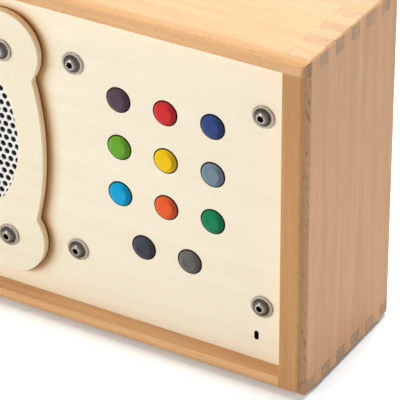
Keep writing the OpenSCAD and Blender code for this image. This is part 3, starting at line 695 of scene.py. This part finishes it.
heads = {place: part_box(place + "_washers")[0].y for place in ("cover", "plate")}
for place, seat in heads.items():
    shape = closedRing(place + "Washer", washerRings)
    fastenerSet(place + "Washers", place + "_washers", shape, 2, 2, washer["across"],
                seat + washer["thick"] * mm, 0, 1, finish["stainless"])
for (place, seat), seed in zip(heads.items(), (5, 11)):
    length = (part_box(place + "_screws")[1].y - seat) / mm
    shape = turned(place + "Screw", headRings(dict(machineHead, length=length)))
    fastenerSet(place + "Screws", place + "_screws", shape, 2, 2, machineHead["head"], seat, math.tau, seed)
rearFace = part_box("rear_plate")[1].y
rearLength = (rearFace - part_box("rear_screws")[0].y) / mm
rearScrew = turned("rearScrew", headRings(dict(woodHead, length=rearLength)))
rearScrew.transform(Matrix.Rotation(math.pi, 4, "Z"))
fastenerSet("rearScrews", "rear_screws", rearScrew, 2, 3, woodHead["head"], rearFace, math.tau, 3)
print("fasteners set")


footLow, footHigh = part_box("feet")
foot = {"radius": 7.0, "height": (footHigh.z - footLow.z) / mm}
footRings = [(0, 0), (5.2, 0), (6.3, 0.02), (6.75, 0.16), (6.97, 0.5), (foot["radius"], 0.8),
             (foot["radius"], foot["height"]), (0, foot["height"])]
footMesh = turned("footShape", footRings, 48, upright=True)
footValues = {"Columns": 2, "Rows": 2, "Width": footHigh.x - footLow.x - 2 * foot["radius"] * mm,
              "Height": footHigh.y - footLow.y - 2 * foot["radius"] * mm, "Centre": (0, 0, footLow.z),
              "Tilt": (0, 0, 0), "Turn range": 0.0, "Seed": 1, "Finish": finish["foot_rubber"]}
placePiece("feetSet", runTree(fasteners, footMesh, footValues), "case",
           finish["foot_rubber"], ["feet"])
print("feet set")


grille = {
    "pitch": 4.25,        # hole to hole along a row, mm
    "rowPitch": 3.96,
    "hole": 3.25,
    "phase": (0.635, -1.07),
    "count": (33, 19),    # holes across, pairs of rows
    "rim": 2.0,           # unpierced margin at the sheet's edge
    "holeSides": 12,
    "edgeSides": 128,
}


def grilleTree():
    tree, given = startTree("perforatedSheet", {
        "Pitch": "Float", "Row pitch": "Float", "Hole diameter": "Float", "Sheet diameter": "Float",
        "Thickness": "Float", "Rim": "Float", "Count across": "Int", "Count up": "Int", "Phase": "Vector",
        "Place": "Vector", "Finish": "Material"})

    def figure(operation, first, second=0.0):
        return math2(tree, operation, first, second)

    # two plain grids, one half a step along the other, give the staggered rows
    across = figure("MULTIPLY", given["Pitch"], figure("SUBTRACT", given["Count across"], 1))
    upward = figure("MULTIPLY", figure("MULTIPLY", given["Row pitch"], 2),
                    figure("SUBTRACT", given["Count up"], 1))
    step = addNode(tree, "ShaderNodeCombineXYZ", {0: figure("MULTIPLY", given["Pitch"], 0.5),
                                                  1: given["Row pitch"]}).outputs[0]
    places = tree.nodes.new("GeometryNodeJoinGeometry")
    for index in range(2):
        grid = addNode(tree, "GeometryNodeMeshGrid", {"Size X": across, "Size Y": upward,
                                                      "Vertices X": given["Count across"],
                                                      "Vertices Y": given["Count up"]})
        offset = addNode(tree, "ShaderNodeVectorMath", {0: given["Phase"]}, operation="ADD")
        if index:
            tree.links.new(step, offset.inputs[1])
        moved = addNode(tree, "GeometryNodeTransform", {"Geometry": grid.outputs["Mesh"],
                                                        "Translation": offset.outputs[0]})
        tree.links.new(moved.outputs[0], places.inputs[0])
    spot = tree.nodes.new("GeometryNodeInputPosition").outputs[0]
    reach = addNode(tree, "ShaderNodeVectorMath", {0: spot}, operation="LENGTH").outputs["Value"]
    sheetRadius = figure("MULTIPLY", given["Sheet diameter"], 0.5)
    holeRadius = figure("MULTIPLY", given["Hole diameter"], 0.5)
    limit = figure("SUBTRACT", sheetRadius, figure("ADD", given["Rim"], holeRadius))
    outside = figure("GREATER_THAN", reach, limit)
    kept = addNode(tree, "GeometryNodeDeleteGeometry", {"Geometry": places.outputs[0],
                                                        "Selection": outside}, domain="POINT")
    hole = addNode(tree, "GeometryNodeCurvePrimitiveCircle", {"Resolution": grille["holeSides"],
                                                              "Radius": holeRadius})
    outline = addNode(tree, "GeometryNodeCurvePrimitiveCircle", {"Resolution": grille["edgeSides"],
                                                                 "Radius": sheetRadius})
    holes = addNode(tree, "GeometryNodeInstanceOnPoints", {"Points": kept.outputs[0],
                                                           "Instance": hole.outputs[0]})
    loops = tree.nodes.new("GeometryNodeJoinGeometry")
    real = addNode(tree, "GeometryNodeRealizeInstances", {0: holes.outputs[0]})
    tree.links.new(real.outputs[0], loops.inputs[0])
    tree.links.new(outline.outputs[0], loops.inputs[0])
    sheet = addNode(tree, "GeometryNodeFillCurve", {0: loops.outputs[0]}, mode="TRIANGLES")
    upDirection = addNode(tree, "ShaderNodeCombineXYZ", {2: 1.0}).outputs[0]
    raised = addNode(tree, "GeometryNodeExtrudeMesh", {"Mesh": sheet.outputs[0], "Offset": upDirection,
                                                       "Offset Scale": given["Thickness"],
                                                       "Individual": False})
    under = addNode(tree, "GeometryNodeFlipFaces", {0: sheet.outputs[0]})
    both = tree.nodes.new("GeometryNodeJoinGeometry")
    tree.links.new(raised.outputs[0], both.inputs[0])
    tree.links.new(under.outputs[0], both.inputs[0])
    merged = addNode(tree, "GeometryNodeMergeByDistance", {"Geometry": both.outputs[0],
                                                           "Distance": 0.01 * mm})
    stood = addNode(tree, "GeometryNodeTransform", {"Geometry": merged.outputs[0],
                                                    "Translation": given["Place"],
                                                    "Rotation": Euler((math.pi / 2, 0, 0))})
    endTree(tree, stood.outputs[0], given["Finish"])
    return tree


grilleLow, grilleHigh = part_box("speaker_grille")
grilleMiddle = (grilleLow + grilleHigh) / 2
phaseAcross, phaseUp = grille["phase"]
grilleValues = {
    "Pitch": grille["pitch"] * mm, "Row pitch": grille["rowPitch"] * mm,
    "Hole diameter": grille["hole"] * mm, "Sheet diameter": grilleHigh.x - grilleLow.x,
    "Thickness": grilleHigh.y - grilleLow.y, "Rim": grille["rim"] * mm,
    "Count across": grille["count"][0], "Count up": grille["count"][1],
    "Phase": (phaseAcross * mm, phaseUp * mm, 0),
    "Place": (grilleMiddle.x, grilleHigh.y, grilleMiddle.z), "Finish": finish["grille_metal"]}
sheetMesh = runTree(grilleTree(), bpy.data.meshes.new("grilleSheet"), grilleValues)
sheetMesh.name = "grilleSheet"
placePiece("grilleSheet", sheetMesh, "case", finish["grille_metal"], ["speaker_grille"])
print("grille pierced, triangles:", sum(len(face.vertices) - 2 for face in sheetMesh.polygons))

clothLow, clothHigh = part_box("grille_cloth")
clothRadius = (clothHigh.x - clothLow.x) / 2 / mm
clothDepth = (clothHigh.y - clothLow.y) / mm
clothSteps = [clothRadius * part / 10 for part in range(10)]
clothEdge = [(clothRadius - 0.1, 0.0), (clothRadius, 0.08), (clothRadius, clothDepth - 0.08),
             (clothRadius - 0.1, clothDepth)]
clothRings = [(reach, 0.0) for reach in clothSteps] + clothEdge
clothRings += [(reach, clothDepth) for reach in reversed(clothSteps)]
clothMesh = turned("clothDisc", clothRings, 64, place=((grilleMiddle / mm).x, clothLow.y / mm,
                                                      (grilleMiddle / mm).z))
cloth = placePiece("speakerClothDisc", clothMesh, "case", finish["grille_cloth"],
                   ["grille_cloth"])
print("cloth stretched")


cap = {
    "radius": 6.28,
    "face": 4.15,
    "chamfer": 1.25,
    "edge": 0.12,           # rounding of the two edges of the chamfer
    "collarFront": 5.9,     # the collar that keeps it behind the plate, from the cap's front
    "collarThick": 1,
    "stem": 3.4,
    "ringRadii": (1.5, 2.7, 3.9),
    "ringWidth": 0.4,
    "ringDepth": 0.22,
    "dot": 0.45,
    "rightShade": 0.62,      # painted shade on the chamfer where it looks to the right
    "skirtShade": 0.36,      # painted shade on the part inside the plate's hole
}
capColours = {
    "aubergine": (86, 66, 79),
    "red": (208, 44, 46),
    "dark_blue": (48, 70, 124),
    "bright_green": (106, 168, 44),
    "yellow": (246, 198, 8),
    "grey_blue": (118, 136, 154),
    "light_blue": (0, 162, 212),
    "orange": (238, 96, 44),
    "dark_green": (12, 128, 82),
    "charcoal": (70, 70, 80),
    "dark_grey": (110, 106, 102),
}


def capFinish(name, colour, skirtFront):
    # lacquered cap, with painted shade on the right of its chamfer and on its skirt
    material = paintFinish(name, colour, 0.55, 0.5, 0.008, 0.03, 0.2)
    tree = material.node_tree
    shader = next(node for node in tree.nodes if node.type == "BSDF_PRINCIPLED")
    lacquer = shader.inputs["Base Color"].links[0].from_socket
    # painted shade: the chamfer darker where it looks to the right
    rightward = spread(tree, surfaceNormal(tree)[0], 0.05, 0.45, 1, cap["rightShade"])
    lacquer = shade(tree, lacquer, rightward)
    # painted shade: the part inside the plate's hole takes a darkened cap colour
    below = spread(tree, axesOf(tree, objectPoint(tree))[1], skirtFront * mm, (skirtFront + 0.1) * mm)
    shadedSkirt = tone(*[part * cap["skirtShade"] for part in colour])
    tree.links.new(blendColour(tree, below, lacquer, shadedSkirt), shader.inputs["Base Color"])
    return material


def capRings(nodeName, ringed):
    low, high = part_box(nodeName)
    radius, face, chamfer, edge = cap["radius"], cap["face"], cap["chamfer"], cap["edge"]
    if ringed:
        front = [(0, cap["dot"] * 0.5), (cap["dot"], 0.02), (cap["dot"] + 0.1, 0)]
        for ringRadius in cap["ringRadii"]:
            half = cap["ringWidth"] / 2
            front += [(ringRadius - half, 0), (ringRadius - half * 0.55, cap["ringDepth"]),
                      (ringRadius + half * 0.55, cap["ringDepth"]), (ringRadius + half, 0)]
    else:
        front = [(0, 0), (face * 0.5, 0)]
    slope = chamfer / (radius - face)
    front += [(face - edge * 3, 0), (face - edge, 0.01), (face, 0.05), (face + edge, edge * slope + 0.02),
              (face + edge * 3, edge * 3 * slope)]
    front += [(radius - edge * 2.5, chamfer - edge * 2.5 * slope), (radius - edge, chamfer - edge * slope),
              (radius - 0.04, chamfer), (radius, chamfer + 0.1), (radius, chamfer + 0.3)]
    collarRadius, depth = (high.x - low.x) / 2 / mm, (high.y - low.y) / mm
    collarFront, stem = cap["collarFront"], cap["stem"]
    collarBack = collarFront + cap["collarThick"]
    return front + [(radius, collarFront), (collarRadius, collarFront), (collarRadius, collarBack),
                    (stem, collarBack), (stem, depth), (0, depth)]


for name in sorted(nodes):
    if not name.startswith("button_"):
        continue
    colourName = name[len("button_"):]
    low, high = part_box(name)
    middle = (low + high) / 2 / mm
    rings = capRings(name, colourName in ("charcoal", "dark_grey"))
    mesh = turned(colourName + "Cap", rings, 64, place=(middle.x, low.y / mm, middle.z))
    finish[name] = capFinish(colourName + "Lacquer", capColours[colourName],
                             low.y / mm + cap["chamfer"] + 0.1)
    placePiece(colourName + "Button", mesh, "key_" + colourName, finish[name], [name])
print("button caps turned")


floorLook = {
    "half": 5,                            # half its side, m
    "lit": (0.76, 0.79, 0.82, 1),         # how it throws light back on the part
    "mirrored": (0.98, 0.97, 0.96, 1),    # how metal shows it
    "seen": (1.48, 1.63, 1.73, 1),        # how the camera sees it: white, with the shadow kept
}


def floorFinish(name, look):
    material = bpy.data.materials.new(name)
    material.use_nodes = True
    tree = material.node_tree
    tree.nodes.clear()
    path = addNode(tree, "ShaderNodeLightPath")
    looks = math2(tree, "MAXIMUM", path.outputs["Is Camera Ray"], path.outputs["Is Transmission Ray"])
    unseen = blendColour(tree, path.outputs["Is Glossy Ray"], look["lit"], look["mirrored"])
    colour = blendColour(tree, looks, unseen, look["seen"])
    diffuse = addNode(tree, "ShaderNodeBsdfDiffuse", {"Color": colour})
    addNode(tree, "ShaderNodeOutputMaterial", {"Surface": diffuse.outputs[0]})
    return material


floorMesh = bpy.data.meshes.new("paleFloor")
half = floorLook["half"]
floorMesh.from_pydata([(-half, -half, 0), (half, -half, 0), (half, half, 0), (-half, half, 0)], [],
                      [(0, 1, 2, 3)])
floorMesh.materials.append(floorFinish("paleFloor", floorLook))
floor = bpy.data.objects.new("paleFloor", floorMesh)
bpy.context.scene.collection.objects.link(floor)

skyLook = {
    "lit": 0.09,        # how strongly it lights the part
    "seen": 1.0,        # how the camera, metal and clear pieces see it
}
world = bpy.data.worlds.new("studio")
bpy.context.scene.world = world
world.use_nodes = True
tree = world.node_tree
tree.nodes.clear()
path = addNode(tree, "ShaderNodeLightPath")
looks = math2(tree, "MAXIMUM", path.outputs["Is Camera Ray"],
              math2(tree, "MAXIMUM", path.outputs["Is Glossy Ray"], path.outputs["Is Transmission Ray"]))
dim = addNode(tree, "ShaderNodeBackground", {"Color": (1, 1, 1, 1), "Strength": skyLook["lit"]})
white = addNode(tree, "ShaderNodeBackground", {"Color": (1, 1, 1, 1), "Strength": skyLook["seen"]})
choice = addNode(tree, "ShaderNodeMixShader", {0: looks, 1: dim.outputs[0], 2: white.outputs[0]})
addNode(tree, "ShaderNodeOutputWorld", {"Surface": choice.outputs[0]})

# places and sizes in m, power in W; inMetal: whether glossy surfaces show the lamp
lamps = {
    "keySoftbox": {"place": (-2.5, -2.75, 0.75), "aim": (0, -0.04, 0.1), "size": (2.3, 1.6), "power": 93,
                   "inMetal": False},
    "smallSoftbox": {"place": (-1.05, -2.25, 0.99), "aim": (0, -0.04, 0.1), "size": (0.4, 0.4),
                     "power": 8.5},
    "sideSoftbox": {"place": (2.28, -0.17, 0.67), "aim": (0.16, 0, 0.1), "size": (1.2, 1.0), "power": 9.5},
    "topSoftbox": {"place": (0.0, 0.4, 1.9), "aim": (0, 0, 0.1), "size": (1.2, 1.2), "power": 36},
    "rearSoftbox": {"place": (-0.9, 2.3, 0.9), "aim": (0, 0, 0.1), "size": (1.0, 1.0), "power": 22},
}
for name, lamp in lamps.items():
    light = bpy.data.lights.new(name, "AREA")
    light.shape = "RECTANGLE"
    light.size, light.size_y = lamp["size"]
    light.energy = lamp["power"]
    holder = bpy.data.objects.new(name, light)
    bpy.context.scene.collection.objects.link(holder)
    holder.visible_glossy = lamp.get("inMetal", True)
    holder.location = lamp["place"]
    direction = Vector(lamp["aim"]) - Vector(lamp["place"])
    holder.rotation_euler = direction.to_track_quat("-Z", "Y").to_euler()

# the photograph's own view: place in m, angles in degrees, lens, sensor in mm
view = {"place": (0.7064, -1.0649, 0.8095), "azimuth": 30.62, "elevation": 30.99, "roll": -0.32,
        "lens": 256.8, "sensor": 36, "farthest": 100}
azimuth, elevation, roll = [math.radians(view[key]) for key in ("azimuth", "elevation", "roll")]
forward = Vector((-math.sin(azimuth) * math.cos(elevation), math.cos(azimuth) * math.cos(elevation),
                  -math.sin(elevation)))
right = forward.cross(Vector((0, 0, 1))).normalized()
up = right.cross(forward)
rolledRight = right * math.cos(roll) + up * math.sin(roll)
rolledUp = up * math.cos(roll) - right * math.sin(roll)
cameraData = bpy.data.cameras.new("photoView")
cameraData.lens = view["lens"]
cameraData.sensor_width = view["sensor"]
cameraData.clip_end = view["farthest"]
camera = bpy.data.objects.new("photoView", cameraData)
bpy.context.scene.collection.objects.link(camera)
turn = Matrix((rolledRight, rolledUp, -forward)).transposed().to_4x4()
camera.matrix_world = Matrix.Translation(Vector(view["place"])) @ turn
bpy.context.scene.camera = camera
bpy.context.scene.view_settings.view_transform = "Standard"
print("stage, lamps and camera ready")
